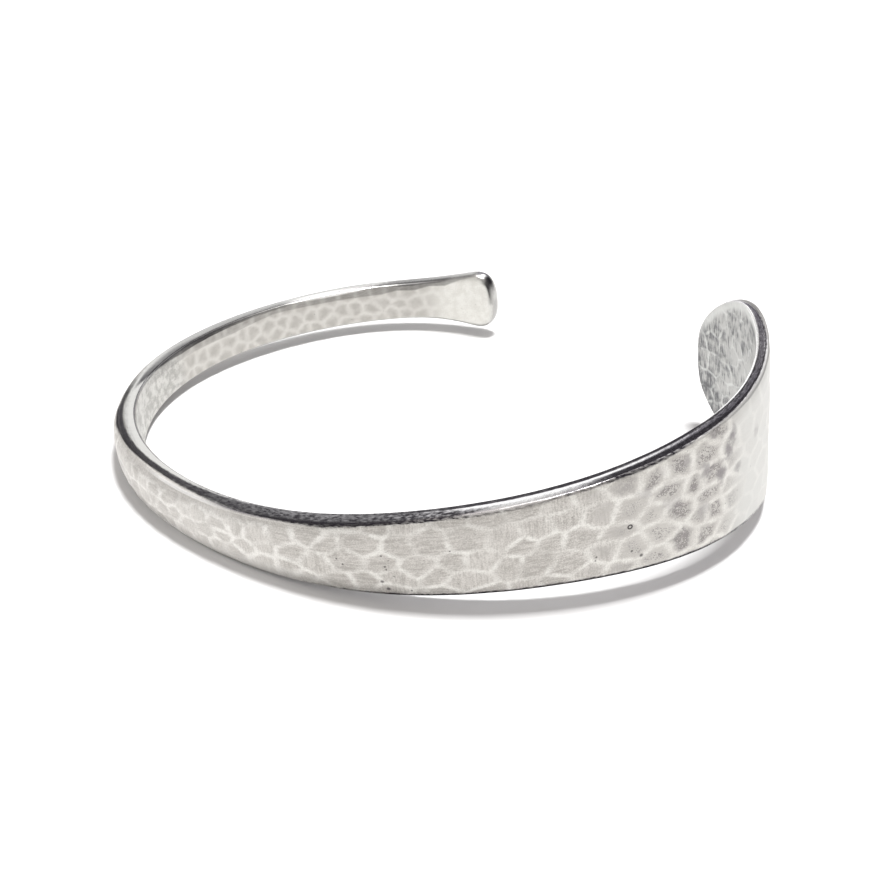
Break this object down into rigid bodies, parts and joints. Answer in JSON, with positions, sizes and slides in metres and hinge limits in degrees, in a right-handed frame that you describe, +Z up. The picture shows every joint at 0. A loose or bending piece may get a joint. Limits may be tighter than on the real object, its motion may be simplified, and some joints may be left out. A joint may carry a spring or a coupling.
{
  "type": "spoon bangle",
  "caption": "Open silver cuff bangle with hammered faces: a slim domed shank with a small spoon-like tip that widens round the wrist into a broad rounded leaf.",
  "frame": {"origin": "on the surface it lies on, under the middle of the bounding box", "axes": "+Z up from that surface; +X towards the broad leaf; +Y towards the back, where the narrow tip ends"},
  "size_m": [0.0678, 0.0608, 0.0181],
  "materials": {
    "silver": "hammered satin silver with polished edges"
  },
  "bodies": {
    "root": {"band": "silver"}
  },
  "joints": []
}
